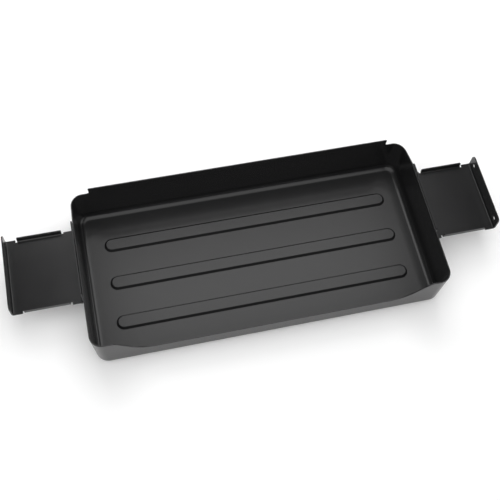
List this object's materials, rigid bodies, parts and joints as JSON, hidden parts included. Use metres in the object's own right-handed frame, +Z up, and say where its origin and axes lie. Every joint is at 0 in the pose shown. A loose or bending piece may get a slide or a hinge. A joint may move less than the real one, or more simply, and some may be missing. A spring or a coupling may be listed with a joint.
{
  "type": "under desk drawer",
  "caption": "Shallow pressed-steel tray drawer with floor ribs and a low front, sliding forward on ball runners between folded wing brackets that bolt at their ends under a desk.",
  "frame": {"origin": "middle of the closed drawer's footprint, on the plane of the tray's underside", "axes": "+X along the tray's long side, to the right as the user sees it; +Z up; -Y is the front, the way the tray is pulled open"},
  "size_m": [0.559, 0.189, 0.0593],
  "materials": {
    "black_powder_coat": "satin",
    "zinc_plated_steel": "satin",
    "rivet_steel": "satin",
    "ball_steel": "polished",
    "cage_plastic": "matte",
    "buffer_rubber": "matte"
  },
  "bodies": {
    "brackets": {"bracket_right": "black_powder_coat", "bracket_left": "black_powder_coat", "runner_hanger_right": "black_powder_coat", "runner_hanger_left": "black_powder_coat", "outer_track_right": "zinc_plated_steel", "outer_track_left": "zinc_plated_steel"},
    "tray": {"tray": "black_powder_coat", "inner_rail_right": "zinc_plated_steel", "inner_rail_left": "zinc_plated_steel", "closing_buffer_right": "buffer_rubber", "closing_buffer_left": "buffer_rubber"},
    "cage_right": {"ball_cage_right": "cage_plastic", "upper_ball_1_right": "ball_steel", "upper_ball_2_right": "ball_steel", "upper_ball_3_right": "ball_steel", "upper_ball_4_right": "ball_steel", "lower_ball_1_right": "ball_steel", "lower_ball_2_right": "ball_steel", "lower_ball_3_right": "ball_steel", "lower_ball_4_right": "ball_steel"},
    "cage_left": {"ball_cage_left": "cage_plastic", "upper_ball_1_left": "ball_steel", "upper_ball_2_left": "ball_steel", "upper_ball_3_left": "ball_steel", "upper_ball_4_left": "ball_steel", "lower_ball_1_left": "ball_steel", "lower_ball_2_left": "ball_steel", "lower_ball_3_left": "ball_steel", "lower_ball_4_left": "ball_steel"}
  },
  "joints": [
    {"name": "tray_slide", "type": "slide", "parent": "brackets", "child": "tray", "axis": [0, -1, 0], "range_m": [0, 0.07]},
    {"name": "cage_slide_right", "type": "slide", "parent": "brackets", "child": "cage_right", "axis": [0, -1, 0], "range_m": [0, 0.035]},
    {"name": "cage_slide_left", "type": "slide", "parent": "brackets", "child": "cage_left", "axis": [0, -1, 0], "range_m": [0, 0.035]}
  ],
  "couplings": [
    {"joint": "cage_slide_right", "follows": "tray_slide", "ratio": 0.5},
    {"joint": "cage_slide_left", "follows": "tray_slide", "ratio": 0.5}
  ]
}
